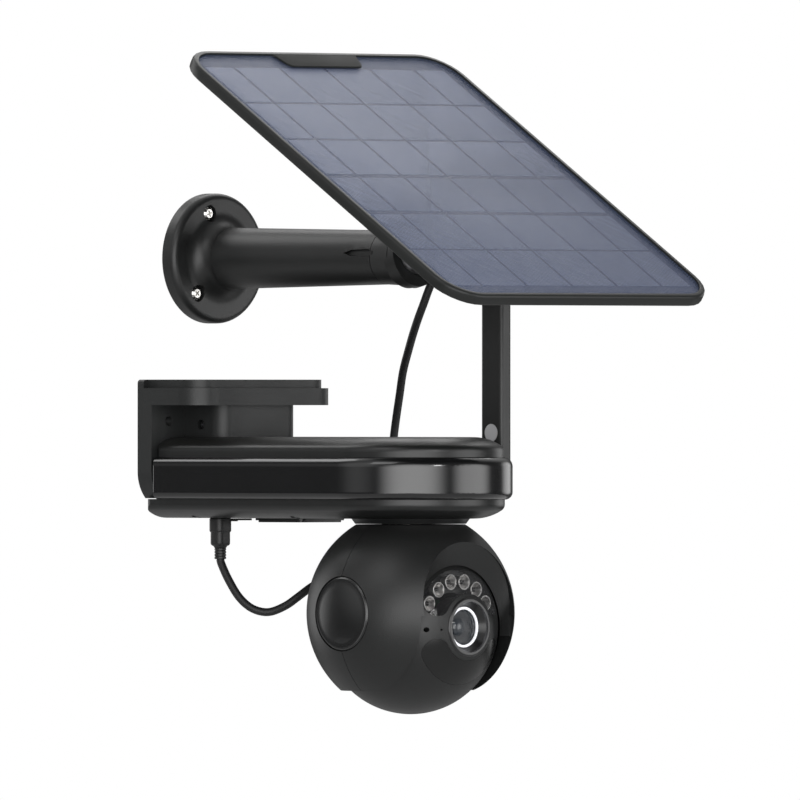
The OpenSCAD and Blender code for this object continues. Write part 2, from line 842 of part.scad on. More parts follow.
// Front shell with the bearings of the tilt pins
module ball_front() {
    color(satin_black) on_ball() difference() {
        union() {
            difference() {
                ball_skin(ball_wall);
                translate([-60, -60, -120 - ball_split]) cube([120, 120, 120]);
            }
            for (side = [0, 1]) mirror([side, 0, 0])
                translate([pin_start_x, 0, 0]) rotate([0, 90, 0]) cylinder(r = 7.5, h = 5.6);
        }
        rotate([0, 90, 0]) cylinder(r = pin_r + 0.06, h = 120, center = true);
        translate([0, 0, 20]) kidney(window_ring, window_half_w, window_a0, window_a1, 40);
        translate([0, 0, 20]) kidney(window_ring, window_half_w, -window_a1, -window_a0, 40);
        translate([-26.2, sensor_y, 20]) cylinder(r = 1.3, h = 30);
        translate([-19.1, sensor_y, 20]) cylinder(r = 0.6, h = 30);
        translate([0, 0, 20]) cylinder(r = bezel_r, h = 40);
        translate([0, 0, 2.5]) rotate([90, 0, 0]) cylinder(r = 6.5, h = 60);
    }
}

module ball_rear() {
    color(satin_black) on_ball() difference() {
        ball_skin(ball_wall);
        translate([-60, -60, -ball_split]) cube([120, 120, 120]);
    }
}

// Round rubber plug over the card slot, underneath
module card_cover() {
    color(dark_grey) on_ball() intersection() {
        ball_skin(ball_wall);
        translate([0, 0, 2.5]) rotate([90, 0, 0]) cylinder(r = 6.3, h = 60);
    }
}

module window_piece(a0, a1) {
    intersection() {
        difference() {
            sphere(ball_r, $fn = 256);
            sphere(ball_r - window_t, $fn = 256);
        }
        translate([0, 0, 20]) kidney(window_ring, window_half_w - 0.1, a0, a1, 40);
    }
}

module lamp_window() {
    color([0.5, 0.5, 0.52]) on_ball() window_piece(window_a0, window_a1);
}

module pir_window() {
    color(gloss_black) on_ball() window_piece(-window_a1, -window_a0);
}

module lamp_board() {
    color(dark_grey) on_ball() translate([0, 0, lamp_board_top - 1.2])
        kidney(window_ring, window_half_w - 0.6, window_a0, window_a1, 1.2);
}

// Reflector cups with their infrared lamps
module ir_lamps() {
    color([0.55, 0.55, 0.57]) on_ball()
        for (i = [0:led_count - 1])
            rotate(90 + (i - (led_count - 1) / 2) * lamp_spread) translate([lamp_ring, 0, lamp_board_top]) {
                difference() {
                    cylinder(r = lamp_r, h = lamp_top - lamp_board_top);
                    translate([0, 0, 1.2]) cylinder(r1 = 1.6, r2 = lamp_r - 0.3, h = lamp_top - lamp_board_top);
                }
                translate([0, 0, 1]) cylinder(r = 1.2, h = 1.4);
                translate([0, 0, 2.4]) sphere(1.2);
            }
}

bezel_back = 30;
ring_f = 39.4;
barrel_back = 12.6;

// Proud ring round the lens, with its dark conical throat
module lens_bezel() {
    color(gloss_black) on_ball() rotate_extrude() difference() {
        union() {
            translate([10.7, bezel_back]) square([bezel_r - 10.7, 13]);
            translate([bezel_r - 1.3, 43]) circle(1.3);
            translate([13.4, 42]) square([bezel_r - 14.7, 2.3]);
        }
        polygon([[10, ring_f - 0.6], [10.9, ring_f - 0.6], [13.4, 42.6], [13.4, 46], [10, 46]]);
    }
}

module lens_barrel() {
    color(dark_grey) on_ball() rotate_extrude() difference() {
        translate([0, barrel_back]) square([10.6, ring_f - 0.6 - barrel_back]);
        polygon([[-1, 34], [4.5, 34], [4.5, 36], [7, 36], [7, 37.4], [9.2, 38], [9.2, 50], [-1, 50]]);
    }
}

module lens_ring() {
    color([0.9, 0.9, 0.9]) on_ball() translate([0, 0, ring_f - 0.6]) difference() {
        cylinder(r = 10.6, h = 0.8);
        translate([0, 0, -1]) cylinder(r = 9.4, h = 3);
    }
}

lens_curve = 16;

module lens_glass() {
    color([0.4, 0.45, 0.5]) on_ball() intersection() {
        translate([0, 0, 41.4 - lens_curve]) sphere(lens_curve);
        translate([0, 0, 38]) cylinder(r = 9.15, h = 6);
    }
}

module sensor_board() {
    color(board_green) on_ball() translate([-20, -14, barrel_back - 1.6]) cube([40, 28, 1.6]);
}

module pir_sensor() {
    color(steel) on_ball() translate([0, -window_ring, 24]) {
        cylinder(r = 5.2, h = 0.8);
        cylinder(r = 4.5, h = 5);
    }
}

// Motor inside the ball, in line with the tilt axis
module tilt_motor() {
    color(steel) on_ball() rotate([0, 90, 0]) {
        translate([0, 0, 14]) cylinder(r = 9, h = 21);
        translate([0, 0, 30]) cylinder(r = 3, h = pin_start_x - 30 - 0.3);
    }
}

// ---- Solar cable ----

cable_dia = 4.3;
cable_sides = 8;
// Route of the cable: sideways out of the gland, down past the body, under it and up into the port
cable_route = [
    [38, -171.7, 131.1], [45, -171.5, 130.8], [51, -167, 127], [53, -159, 120], [51, -149, 111],
    [48, -138, 101], [45, -125, 91], [44, -116.5, 75], [46, -108.5, 63], [50, -100, 52],
    [54, -92, 41], [57.5, -86, 29], [60, -81, 17], [61, -78, 6], [61, -76, -8], [60.5, -75, -22],
    [60, -74.5, -34], [57, -74.5, -44], [50, -74.5, -52], [40, -74.5, -58.5], [28, -74, -64],
    [16, -73, -68.5], [6, -71.5, -73], [-1, -69, -78], [-7, -65, -83], [-14, -59.5, -86.3],
    [-19.5, -53, -84.5], [-23, -46.5, -78.5], [-24.7, -40, -69], [-25, -35.2, -61], [-25, -34.3, -58.4]
];
steps_per_point = 2;

function unit(v) = v / norm(v);

// Smooth curve through four neighbouring points
function curve_point(a, b, c, d, t) =
    0.5 * (2 * b + (c - a) * t + (2 * a - 5 * b + 4 * c - d) * t * t + (3 * b - a - 3 * c + d) * t * t * t);

function smooth_route(p) = concat(
    [for (i = [0:len(p) - 2], k = [0:steps_per_point - 1])
        curve_point(p[max(i - 1, 0)], p[i], p[i + 1], p[min(i + 2, len(p) - 1)], k / steps_per_point)],
    [p[len(p) - 1]]
);

function tangent(p, i) = unit(p[min(i + 1, len(p) - 1)] - p[max(i - 1, 0)]);

// Side direction carried along the curve without twist
function carry(side, along) = unit(side - (side * along) * along);

module tube(route, dia, sides) {
    p = smooth_route(route);
    last = len(p) - 1;
    side_dirs = [
        for (i = 0, s = carry([0, 0, 1], tangent(p, 0)); i <= last; i = i + 1, s = carry(s, tangent(p, min(i, last)))) s
    ];
    points = [
        for (i = [0:last], k = [0:sides - 1])
            p[i] + dia / 2 * (cos(k * 360 / sides) * side_dirs[i]
                + sin(k * 360 / sides) * cross(tangent(p, i), side_dirs[i]))
    ];
    faces = concat(
        [[for (k = [0:sides - 1]) k]],
        [for (i = [0:last - 1], k = [0:sides - 1])
            [i * sides + k, (i + 1) * sides + k, (i + 1) * sides + (k + 1) % sides, i * sides + (k + 1) % sides]],
        [[for (k = [sides - 1:-1:0]) last * sides + k]]
    );
    polyhedron(points, faces, convexity = 6);
}

module solar_cable() {
    color(satin_black) tube(cable_route, cable_dia, cable_sides);
}

// Overmoulded plug with its collar below and its metal tongue above
module usb_plug() {
    color(satin_black) translate([port_x, -port_d, 0]) {
        translate([0, 0, -58.4]) cylinder(r = 3.15, h = 5.9);
        translate([0, 0, -52.6]) round_plate(9.6, 8.4, 3, 8.6);
        translate([0, 0, -44.1]) round_plate(10.6, 9.2, 3, 7.5);
    }
    color(steel) translate([port_x, -port_d, -36.7]) round_plate(7.8, 2.4, 1.15, 5.2);
}

wall_arm();
arm_wall_screws();
lock_sleeve();
ball_stud();
mount_plate();
mount_screws();
cable_gland();
turn_hub();
panel_back_cover();
panel_screws();
junction_box();
panel_frame();
cell_board();
solar_cells();
panel_glass();
wall_bracket();
mount_block();
lock_screw();
top_cover();
glossy_band();
lower_shell();
body_screws();
battery_pack();
main_board();
speaker();
usb_socket();
usb_flap();
access_cover();
access_screws();
power_button();
antenna_socket();
antenna();
antenna_badge();
pan_motor();
pan_pinion();
pan_gear();
neck_ring();
yoke_front();
yoke_rear();
side_caps();
tilt_motor();
tilt_pins();
ball_front();
ball_rear();
card_cover();
lamp_window();
lamp_board();
ir_lamps();
lens_bezel();
lens_barrel();
lens_ring();
lens_glass();
sensor_board();
pir_window();
pir_sensor();
solar_cable();
usb_plug();
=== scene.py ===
import bmesh
import bpy
import math
from mathutils import Matrix, Vector


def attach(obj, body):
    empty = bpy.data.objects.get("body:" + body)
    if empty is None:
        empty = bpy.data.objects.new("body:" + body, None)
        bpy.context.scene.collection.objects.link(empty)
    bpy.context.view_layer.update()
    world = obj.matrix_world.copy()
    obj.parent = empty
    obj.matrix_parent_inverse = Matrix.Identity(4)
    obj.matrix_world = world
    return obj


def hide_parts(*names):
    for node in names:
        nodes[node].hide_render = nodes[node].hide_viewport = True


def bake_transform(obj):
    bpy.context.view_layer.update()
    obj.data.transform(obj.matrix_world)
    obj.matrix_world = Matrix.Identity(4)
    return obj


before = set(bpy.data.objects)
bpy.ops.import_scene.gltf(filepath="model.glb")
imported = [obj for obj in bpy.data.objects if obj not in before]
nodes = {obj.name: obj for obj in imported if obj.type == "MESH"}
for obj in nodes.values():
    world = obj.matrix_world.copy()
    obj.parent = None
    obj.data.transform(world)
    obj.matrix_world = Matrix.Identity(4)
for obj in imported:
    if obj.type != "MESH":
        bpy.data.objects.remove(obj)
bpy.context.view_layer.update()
scene = bpy.context.scene

# ---- Camera ----
# A long lens stands level in front of the object's left corner, so that the view
# has almost no perspective. It aims at the middle between the panel and the ball.
VIEW_AIM = Vector((0.0, -0.1437, 0.0258))
VIEW_WIDTH = 0.42105
VIEW_TURN = -45
LENS_MM = 1000.0
SENSOR_MM = 36.0
FARTHEST_SEEN = 60.0
TO_CAMERA = Vector((-1, -1, 0)).normalized()
view_distance = VIEW_WIDTH * LENS_MM / SENSOR_MM
camera_data = bpy.data.cameras.new("long_lens")
camera_data.lens = LENS_MM
camera_data.sensor_width = SENSOR_MM
camera_data.clip_end = FARTHEST_SEEN
camera = bpy.data.objects.new("camera", camera_data)
camera.location = VIEW_AIM + TO_CAMERA * view_distance
camera.rotation_euler = (math.radians(90), 0, math.radians(VIEW_TURN))
scene.collection.objects.link(camera)
scene.camera = camera

# ---- Solar cable ----
# A round black lead with a soft outer jacket, 4.3 mm thick. It leaves the rubber gland
# on the panel's mount, hangs past the body and comes up into the charging port.
CABLE_DIAMETER = 0.0043
CABLE_SIDES = 20
CABLE_STEPS = 5
CABLE_ROUTE_MM = [
    (38, -171.7, 131.1), (45, -171.5, 130.8), (51, -167, 127), (53, -159, 120),
    (51, -149, 111), (48, -138, 101), (45, -125, 91), (44, -116.5, 75),
    (46, -108.5, 63), (50, -100, 52), (54, -92, 41), (57.5, -86, 29), (60, -81, 17),
    (61, -78, 6), (61, -76, -8), (60.5, -75, -22), (60, -74.5, -34), (57, -74.5, -44),
    (50, -74.5, -52), (40, -74.5, -58.5), (28, -74, -64), (16, -73, -68.5),
    (6, -71.5, -73), (-1, -69, -78), (-7, -65, -83), (-14, -59.5, -86.3),
    (-19.5, -53, -84.5), (-23, -46.5, -78.5), (-24.7, -40, -69), (-25, -35.2, -61),
    (-25, -34.3, -58.4),
]


def smooth_route(points, steps):
    """A smooth curve through points in millimetres. Returns it in metres."""
    p = [Vector(q) / 1000 for q in points]
    out = []
    for i in range(len(p) - 1):
        a, b, c = p[max(i - 1, 0)], p[i], p[i + 1]
        d = p[min(i + 2, len(p) - 1)]
        for k in range(steps):
            t = k / steps
            out.append(0.5 * (2 * b + (c - a) * t + (2 * a - 5 * b + 4 * c - d) * t ** 2
                              + (3 * b - a - 3 * c + d) * t ** 3))
    out.append(p[-1])
    return out


def finish_mesh(name, bm, smooth_angle=40):
    """Turns a bmesh into a piece with outward normals and soft shading."""
    bmesh.ops.recalc_face_normals(bm, faces=bm.faces)
    mesh = bpy.data.meshes.new(name)
    bm.to_mesh(mesh)
    bm.free()
    piece = bpy.data.objects.new(name, mesh)
    scene.collection.objects.link(piece)
    mesh.shade_smooth()
    mesh.set_sharp_from_angle(angle=math.radians(smooth_angle))
    return piece


def swept_tube(name, line, radius, sides):
    """A round tube along the line: one ring of vertices is extruded from point to point."""
    bm = bmesh.new()
    along = (line[1] - line[0]).normalized()
    side = along.orthogonal().normalized()
    ring = bmesh.ops.create_circle(bm, cap_ends=True, segments=sides, radius=radius)["verts"]
    turn = Matrix((side, along.cross(side), along)).transposed().to_4x4()
    bmesh.ops.transform(bm, matrix=Matrix.Translation(line[0]) @ turn, verts=ring)
    edges = list({e for v in ring for e in v.link_edges})
    for i in range(1, len(line)):
        grown = bmesh.ops.extrude_edge_only(bm, edges=edges)["geom"]
        ring = [g for g in grown if isinstance(g, bmesh.types.BMVert)]
        edges = [g for g in grown if isinstance(g, bmesh.types.BMEdge)]
        new_along = (line[min(i + 1, len(line) - 1)] - line[i - 1]).normalized()
        bend = along.rotation_difference(new_along).to_matrix().to_4x4()
        step = Matrix.Translation(line[i]) @ bend @ Matrix.Translation(-line[i - 1])
        bmesh.ops.transform(bm, matrix=step, verts=ring)
        along = new_along
    bmesh.ops.contextual_create(bm, geom=edges)
    return finish_mesh(name, bm, 60)


def feed(tree, socket, value):
    """Links a socket to another one, or sets it to a number or a colour."""
    if isinstance(value, bpy.types.NodeSocket):
        tree.links.new(value, socket)
    else:
        socket.default_value = value


def worked_out(tree, operation, first, second, clamp=False):
    """A Math node on two sockets or numbers. Returns its result."""
    node = tree.nodes.new("ShaderNodeMath")
    node.operation = operation
    node.use_clamp = clamp
    feed(tree, node.inputs[0], first)
    feed(tree, node.inputs[1], second)
    return node.outputs[0]


def remapped(tree, value, start, end, low=0.0, high=1.0, kind="LINEAR"):
    """A value whose range from start to end is carried to low to high."""
    node = tree.nodes.new("ShaderNodeMapRange")
    node.interpolation_type = kind
    limits = {"Value": value, "From Min": start, "From Max": end, "To Min": low, "To Max": high}
    for title, limit in limits.items():
        feed(tree, node.inputs[title], limit)
    return node.outputs["Result"]


def blended(tree, factor, first, second):
    """A colour between two."""
    node = tree.nodes.new("ShaderNodeMix")
    node.data_type = "RGBA"
    for title, value in (("Factor", factor), ("A", first), ("B", second)):
        feed(tree, node.inputs[title], value)
    return node.outputs["Result"]


def cloudy(tree, scale, detail):
    """Noise that is fixed to the piece."""
    place = tree.nodes.new("ShaderNodeTexCoord")
    noise = tree.nodes.new("ShaderNodeTexNoise")
    noise.inputs["Scale"].default_value = scale
    noise.inputs["Detail"].default_value = detail
    tree.links.new(place.outputs["Object"], noise.inputs["Vector"])
    return noise.outputs["Fac"]


def raised(tree, height, strength, distance):
    """A normal bent by a height that spans a distance in metres."""
    node = tree.nodes.new("ShaderNodeBump")
    for title, value in (("Height", height), ("Strength", strength), ("Distance", distance)):
        feed(tree, node.inputs[title], value)
    return node.outputs["Normal"]


MOTTLE_SCALE = 45
DUST_SCALE = 900
DUST_FROM = 0.55
DUST_COLOUR = (0.36, 0.34, 0.31, 1)
PIT_DEPTH = 0.0002


def soft_skin_group():
    """Shared look of moulded parts: fine spark-eroded grain, faint mottling and settled dust."""
    group = bpy.data.node_groups.new("moulded_skin", "ShaderNodeTree")
    sockets = {
        "INPUT": (("Colour", "NodeSocketColor"), ("Roughness", "NodeSocketFloat"),
                  ("Grain Size", "NodeSocketFloat"), ("Grain Depth", "NodeSocketFloat"),
                  ("Mottle", "NodeSocketFloat"), ("Dust", "NodeSocketFloat")),
        "OUTPUT": (("Colour", "NodeSocketColor"), ("Roughness", "NodeSocketFloat"),
                   ("Normal", "NodeSocketVector")),
    }
    for way, rows in sockets.items():
        for title, kind in rows:
            group.interface.new_socket(name=title, in_out=way, socket_type=kind)
    given = group.nodes.new("NodeGroupInput").outputs
    result = group.nodes.new("NodeGroupOutput").inputs
    # Mottling: slow changes of tone and gloss from the mould
    centred = worked_out(group, "SUBTRACT", cloudy(group, MOTTLE_SCALE, 4), 0.5)
    amount = worked_out(group, "MULTIPLY", centred, given["Mottle"])
    # Dust: a pale film that settles on faces that look up
    form = group.nodes.new("ShaderNodeNewGeometry")
    split = group.nodes.new("ShaderNodeSeparateXYZ")
    feed(group, split.inputs[0], form.outputs["Normal"])
    upward = remapped(group, split.outputs["Z"], DUST_FROM, 1.0)
    film = worked_out(group, "MULTIPLY", upward, cloudy(group, DUST_SCALE, 3))
    dust = worked_out(group, "MULTIPLY", film, given["Dust"])
    # Colour: mottled, then dusted
    shade = group.nodes.new("ShaderNodeHueSaturation")
    feed(group, shade.inputs["Value"], worked_out(group, "ADD", amount, 1.0))
    feed(group, shade.inputs["Color"], given["Colour"])
    feed(group, result["Colour"], blended(group, dust, shade.outputs["Color"], DUST_COLOUR))
    # Roughness: mottled, duller under dust
    rough = worked_out(group, "ADD", given["Roughness"], amount)
    feed(group, result["Roughness"], worked_out(group, "ADD", rough, dust, clamp=True))
    # Grain: fine pits of the mould's surface
    place = group.nodes.new("ShaderNodeTexCoord")
    grain = group.nodes.new("ShaderNodeTexVoronoi")
    grain.feature = "SMOOTH_F1"
    feed(group, grain.inputs["Vector"], place.outputs["Object"])
    feed(group, grain.inputs["Scale"], given["Grain Size"])
    pits = raised(group, grain.outputs["Distance"], given["Grain Depth"], PIT_DEPTH)
    feed(group, result["Normal"], pits)
    return group


moulded_skin = soft_skin_group()


def new_finish(name):
    """An empty node material. Returns it, its tree and its shader."""
    material = bpy.data.materials.new(name)
    material.use_nodes = True
    tree = material.node_tree
    return material, tree, tree.nodes["Principled BSDF"]


def moulded(name, colour, roughness, grain_size=2600, grain_depth=0.25, mottle=0.12, dust=0.05,
            coat=0.0, specular=0.5):
    """A plastic, rubber or painted finish made from the shared skin."""
    material, tree, shader = new_finish(name)
    skin = tree.nodes.new("ShaderNodeGroup")
    skin.node_tree = moulded_skin
    values = {"Colour": (*colour, 1), "Roughness": roughness, "Grain Size": grain_size,
              "Grain Depth": grain_depth, "Mottle": mottle, "Dust": dust}
    for title, value in values.items():
        feed(tree, skin.inputs[title], value)
    feed(tree, shader.inputs["Base Color"], skin.outputs["Colour"])
    feed(tree, shader.inputs["Roughness"], skin.outputs["Roughness"])
    feed(tree, shader.inputs["Normal"], skin.outputs["Normal"])
    shader.inputs["Specular IOR Level"].default_value = specular
    shader.inputs["Coat Weight"].default_value = coat
    shader.inputs["Coat Roughness"].default_value = 0.04
    return material


def finish_with(material, *pieces):
    """Gives pieces, or CAD nodes by name, one material."""
    for piece in pieces:
        target = nodes[piece] if isinstance(piece, str) else piece
        target.data.materials.clear()
        target.data.materials.append(material)


cable_line = smooth_route(CABLE_ROUTE_MM, CABLE_STEPS)
solar_cable = swept_tube("solar_lead", cable_line, CABLE_DIAMETER / 2, CABLE_SIDES)
cable_jacket = moulded("cable_jacket", (0.008, 0.008, 0.0085), 0.5, grain_depth=0.1, dust=0.02)
finish_with(cable_jacket, solar_cable)
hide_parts("solar_cable")

# ---- Charging plug ----
# The moulded plug on the lead's end: a ribbed round strain relief, a shoulder and a
# rounded grip. Its steel tongue reaches up into the socket inside the body.
PLUG_FOOT_MM = (-25.0, -34.3, -58.4)
GRIP_MM, GRIP_SPAN = (10.6, 9.2, 3.0), (14.3, 21.8)
SHOULDER_MM, SHOULDER_SPAN = (9.6, 8.4, 2.9), (7.0, 14.6)
TONGUE_MM, TONGUE_SPAN = (7.8, 2.4, 1.1), (21.7, 26.9)
RELIEF_HEIGHT, RELIEF_RIBS = 6.0, 4
RELIEF_FOOT, RELIEF_CORE, RELIEF_RADIUS = 2.4, 2.75, 3.1
COLLAR_RADIUS, COLLAR_LOW, COLLAR_HIGH = 3.9, 7.3, 8.0
SAME_HEIGHT = 1e-4


def rounded_block(bm, size, low, high, edge_low=0.0, edge_high=0.0, segments=5):
    """A block from low to high whose four upright edges are round (width, depth, corner
    radius) and whose rims may be softened."""
    width, depth, corner = size
    before = set(bm.faces)
    block = bmesh.ops.create_cube(bm, size=1)["verts"]
    bmesh.ops.scale(bm, vec=(width, depth, high - low), verts=block)
    bmesh.ops.translate(bm, vec=(0, 0, (low + high) / 2), verts=block)
    edges = {e for v in block for e in v.link_edges}
    upright = [e for e in edges if abs(e.verts[0].co.z - e.verts[1].co.z) > SAME_HEIGHT
               and (e.verts[0].co.xy - e.verts[1].co.xy).length < SAME_HEIGHT]
    bmesh.ops.bevel(bm, geom=upright, offset=corner, affect="EDGES", segments=segments + 3,
                    profile=0.5, material=-1, offset_type="OFFSET")
    for height, edge in ((low, edge_low), (high, edge_high)):
        if edge > 0:
            rim = [e for f in set(bm.faces) - before for e in f.edges
                   if all(abs(v.co.z - height) < SAME_HEIGHT for v in e.verts)]
            bmesh.ops.bevel(bm, geom=list(set(rim)), offset=edge, affect="EDGES",
                            segments=segments, profile=0.5, material=-1, offset_type="OFFSET")


def turned(bm, profile, steps):
    """Spins a profile of (radius, height) points round the upright axis into a closed solid."""
    points = [bm.verts.new((radius, 0, height)) for radius, height in profile]
    edges = [bm.edges.new(pair) for pair in zip(points, points[1:])]
    bmesh.ops.spin(bm, geom=points + edges, cent=(0, 0, 0), axis=(0, 0, 1), dvec=(0, 0, 0),
                   angle=2 * math.pi, steps=steps, use_merge=True, use_duplicate=False)
    bmesh.ops.remove_doubles(bm, verts=bm.verts, dist=1e-5)


def in_metres(bm, place):
    """Scales a mesh made in millimetres and puts it in its place."""
    bmesh.ops.scale(bm, vec=(0.001, 0.001, 0.001), verts=bm.verts)
    bmesh.ops.transform(bm, matrix=place, verts=bm.verts)


plug_place = Matrix.Translation(Vector(PLUG_FOOT_MM) / 1000)
relief = [(0.0, 0.0), (RELIEF_FOOT, 0.0)]
rib = RELIEF_HEIGHT / RELIEF_RIBS
for i in range(RELIEF_RIBS):
    low = i * rib
    relief += [(RELIEF_CORE, low + 0.05), (RELIEF_RADIUS, low + 0.3),
               (RELIEF_RADIUS, low + rib - 0.35), (RELIEF_CORE, low + rib - 0.1)]
relief += [(RELIEF_RADIUS, RELIEF_HEIGHT), (COLLAR_RADIUS, COLLAR_LOW),
           (COLLAR_RADIUS, COLLAR_HIGH), (0.0, COLLAR_HIGH)]
bm = bmesh.new()
rounded_block(bm, GRIP_MM, *GRIP_SPAN, edge_low=0.9, edge_high=0.7)
rounded_block(bm, SHOULDER_MM, *SHOULDER_SPAN, edge_low=1.6, edge_high=0.1)
turned(bm, relief, 48)
in_metres(bm, plug_place)
plug_grip = finish_mesh("plug_grip", bm, 50)
plug_rubber = moulded("plug_rubber", (0.010, 0.0102, 0.0105), 0.42, grain_depth=0.18)
finish_with(plug_rubber, plug_grip)
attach(plug_grip, "root")
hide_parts("usb_plug")

bm = bmesh.new()
rounded_block(bm, TONGUE_MM, *TONGUE_SPAN, edge_high=0.3)
in_metres(bm, plug_place)
plug_tongue = finish_mesh("plug_tongue", bm, 50)
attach(plug_tongue, "root")


def metal(name, colour, roughness, streak=900, depth=0.08):
    """A bare or plated metal with fine turning marks and slight changes of gloss."""
    material, tree, shader = new_finish(name)
    shader.inputs["Metallic"].default_value = 1.0
    marks = cloudy(tree, streak, 5)
    gloss = remapped(tree, marks, 0.0, 1.0, roughness * 0.6, roughness * 1.4)
    feed(tree, shader.inputs["Roughness"], gloss)
    tone = tree.nodes.new("ShaderNodeValToRGB")
    stops = tone.color_ramp.elements
    stops[0].color = tuple(0.75 * c for c in colour) + (1,)
    stops[1].color = tuple(min(1.0, 1.1 * c) for c in colour) + (1,)
    stops[0].position = 0.3
    stops[1].position = 0.7
    feed(tree, tone.inputs["Fac"], marks)
    feed(tree, shader.inputs["Base Color"], tone.outputs["Color"])
    feed(tree, shader.inputs["Normal"], raised(tree, marks, depth, 0.0001))
    return material


screw_steel = metal("screw_steel", (0.62, 0.61, 0.59), 0.22)
finish_with(screw_steel, plug_tongue)
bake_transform(solar_cable)

# ---- Wall arm ----
# A die-cast tube with a round flange, powder-coated satin black, with three plated
# pan-head screws through the flange and a twisting sleeve that locks the steel ball.
satin_coat = moulded("satin_coat", (0.011, 0.0115, 0.0115), 0.38, grain_size=2200,
                     grain_depth=0.22, mottle=0.10, dust=0.04)
sleeve_plastic = moulded("sleeve_plastic", (0.010, 0.0105, 0.0105), 0.40, grain_depth=0.2)
gland_rubber = moulded("gland_rubber", (0.015, 0.015, 0.015), 0.6, grain_depth=0.35)
finish_with(satin_coat, "wall_arm")
finish_with(sleeve_plastic, "lock_sleeve", "mount_plate")
finish_with(metal("ball_steel", (0.30, 0.30, 0.31), 0.30), "ball_stud")
finish_with(screw_steel, "arm_wall_screws", "mount_screws", "panel_screws")
finish_with(gland_rubber, "cable_gland")

# ---- Solar panel ----
# A moulded frame holds a laminate of thirty-six dark cells on a board under a cover
# sheet with a fine diagonal texture. A blank tab stands on the frame's upper edge.
PANEL_PIVOT = (0, -0.1528, 0.1009)
PANEL_LEAN = 32.1
PANEL = Matrix.Translation(PANEL_PIVOT) @ Matrix.Rotation(math.radians(PANEL_LEAN), 4, "X")
PANEL_W, PANEL_L, PANEL_CORNER = 196.0, 244.6, 21.0
FRAME_LOW, FRAME_HIGH, BOARD_LOW = 45.8, 52.0, 48.4
RIM_W, LEDGE_W = 3.2, 14.0
EDGE_UNDER, EDGE_OVER, LIP = 1.0, 1.7, 0.2


def side_of(bm, height):
    """The largest flat face at that height."""
    flat = [f for f in bm.faces if all(abs(v.co.z - height) < SAME_HEIGHT for v in f.verts)]
    return max(flat, key=lambda f: f.calc_area())


def step_in(bm, face, width, drop=0.0):
    """Insets one face by a width, and lowers it."""
    bmesh.ops.inset_region(bm, faces=[face], thickness=width, depth=-drop, use_even_offset=True)


bm = bmesh.new()
rounded_block(bm, (PANEL_W, PANEL_L, PANEL_CORNER), FRAME_LOW, FRAME_HIGH, EDGE_UNDER, EDGE_OVER,
              segments=4)
lid = side_of(bm, FRAME_HIGH)
step_in(bm, lid, RIM_W - EDGE_OVER - LIP)
step_in(bm, lid, LIP, LIP)
lid = bmesh.ops.extrude_discrete_faces(bm, faces=[lid])["faces"][0]
bmesh.ops.translate(bm, vec=(0, 0, BOARD_LOW - FRAME_HIGH + LIP), verts=lid.verts)
step_in(bm, lid, LEDGE_W - RIM_W)
underside = side_of(bm, FRAME_LOW)
step_in(bm, underside, LEDGE_W - EDGE_UNDER)
loops = list(lid.edges) + list(underside.edges)
bmesh.ops.delete(bm, geom=[lid, underside], context="FACES_ONLY")
bmesh.ops.bridge_loops(bm, edges=loops)
in_metres(bm, PANEL)
panel_frame = finish_mesh("panel_surround", bm, 35)
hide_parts("panel_frame")
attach(panel_frame, "panel")
FRAME_GREY = (0.017, 0.018, 0.0175)
frame_plastic = moulded("frame_plastic", FRAME_GREY, 0.34, grain_size=1900, grain_depth=0.2,
                        mottle=0.1, dust=0.03, specular=0.3)
finish_with(frame_plastic, panel_frame, "panel_back_cover", "turn_hub", "junction_box")

# The blank tab: its upper corners flare into the rim and its lower corners are round.
# Its half outline is given from its side inwards and from the panel's upper edge down.
TAB_W, TAB_L, TAB_EDGE = 60.0, 15.0, 0.35
GLASS_LOW, GLASS_HIGH = 49.8, 51.0
TAB_FOOT = GLASS_HIGH + 0.02
TAB_OUTLINE = ((2.2, 0.2 - RIM_W), (0.9, -RIM_W - 0.5), (0.2, -RIM_W - 1.8), (-1.6, 4.4 - TAB_L),
               (-2.4, 2.2 - TAB_L), (-3.7, 0.8 - TAB_L), (-5.6, 0.15 - TAB_L), (-8.0, -TAB_L))
outline = [(TAB_W / 2 + x, PANEL_L / 2 + y) for x, y in TAB_OUTLINE]
outline += [(-x, y) for x, y in reversed(outline)]
bm = bmesh.new()
tab = bm.faces.new([bm.verts.new((x, y, TAB_FOOT)) for x, y in outline])
grown = bmesh.ops.extrude_face_region(bm, geom=[tab])["geom"]
bmesh.ops.translate(bm, vec=(0, 0, FRAME_HIGH - TAB_FOOT),
                    verts=[g for g in grown if isinstance(g, bmesh.types.BMVert)])
upper = [e for e in bm.edges if all(abs(v.co.z - FRAME_HIGH) < SAME_HEIGHT for v in e.verts)]
bmesh.ops.bevel(bm, geom=upper, offset=TAB_EDGE, affect="EDGES", segments=3, profile=0.5,
                material=-1)
in_metres(bm, PANEL)
panel_tab = finish_mesh("panel_tab", bm, 35)
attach(panel_tab, "panel")
tab_plastic = moulded("tab_plastic", FRAME_GREY, 0.5, grain_size=1900, grain_depth=0.2,
                      specular=0.12)
finish_with(tab_plastic, panel_tab)

# The cover sheet: clear over the cells, with fine ridges that run slantwise
COVER_GAP = 0.1
HATCH_TURN = 32
HATCH_PITCH = 0.00156
COVER_DARK = (0.078, 0.105, 0.190, 1)
COVER_LIGHT = (0.135, 0.172, 0.285, 1)
bm = bmesh.new()
rounded_block(bm, (PANEL_W - 2 * RIM_W - COVER_GAP, PANEL_L - 2 * RIM_W - COVER_GAP,
                   PANEL_CORNER - RIM_W), GLASS_LOW, GLASS_HIGH, edge_high=0.2, segments=2)
in_metres(bm, PANEL)
panel_cover = finish_mesh("panel_cover", bm, 35)
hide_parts("panel_glass")
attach(panel_cover, "panel")

